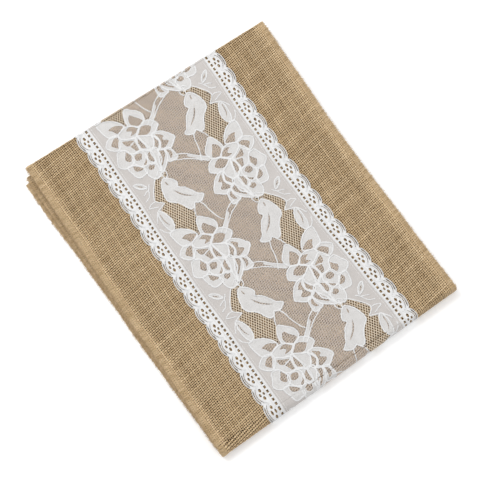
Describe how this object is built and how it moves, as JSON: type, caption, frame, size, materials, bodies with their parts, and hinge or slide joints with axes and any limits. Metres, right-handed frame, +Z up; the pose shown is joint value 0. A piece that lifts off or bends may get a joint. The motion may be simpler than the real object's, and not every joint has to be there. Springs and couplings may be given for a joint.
{
  "type": "table runner",
  "caption": "Folded natural burlap table runner with a wide white floral lace ribbon sewn along its middle; the last fold opens like a book.",
  "frame": {"origin": "centre of the folded stack's box, on the surface that it lies on", "axes": "+Z up through the stack, +Y along the cloth from the last fold to the open-ended side, +X across the cloth"},
  "size_m": [0.3086, 0.373, 0.0146],
  "materials": {
    "burlap": "natural jute plain weave, about 96 yarns across 30 cm, matt",
    "lace": "white floral net lace with corded outlines, matt",
    "overlock_thread": "beige overlock thread, fuzzy",
    "sewing_thread": "white sewing thread"
  },
  "bodies": {
    "lower_stack": {"burlap_panel_1": "burlap", "burlap_panel_8": "burlap", "burlap_panel_5": "burlap", "burlap_panel_4": "burlap", "lace_panel_1": "lace", "lace_panel_8": "lace", "lace_panel_5": "lace", "lace_panel_4": "lace", "burlap_fold_4": "burlap", "lace_fold_4": "lace", "overlock_left_lower": "overlock_thread", "overlock_right_lower": "overlock_thread", "overlock_ends": "overlock_thread", "stitching_lower": "sewing_thread", "burlap_fold_1": "burlap", "burlap_fold_3": "burlap", "burlap_fold_5": "burlap", "burlap_fold_7": "burlap", "lace_fold_1": "lace", "lace_fold_3": "lace", "lace_fold_5": "lace", "lace_fold_7": "lace", "overlock_left_fold": "overlock_thread", "overlock_right_fold": "overlock_thread", "stitching_fold": "sewing_thread"},
    "upper_stack": {"burlap_panel_3": "burlap", "burlap_panel_6": "burlap", "burlap_panel_7": "burlap", "burlap_panel_2": "burlap", "lace_panel_3": "lace", "lace_panel_6": "lace", "lace_panel_7": "lace", "lace_panel_2": "lace", "burlap_fold_2": "burlap", "burlap_fold_6": "burlap", "lace_fold_2": "lace", "lace_fold_6": "lace", "overlock_left_upper": "overlock_thread", "overlock_right_upper": "overlock_thread", "stitching_upper": "sewing_thread"}
  },
  "joints": [
    {"name": "final_fold", "type": "hinge", "parent": "lower_stack", "child": "upper_stack", "pos_m": [0, -0.1792, 0.0073], "axis": [1, 0, 0], "range_deg": [0, 180], "deforming": ["burlap_fold_1", "burlap_fold_3", "burlap_fold_5", "burlap_fold_7", "lace_fold_1", "lace_fold_3", "lace_fold_5", "lace_fold_7", "overlock_left_fold", "overlock_right_fold", "stitching_fold"]}
  ]
}
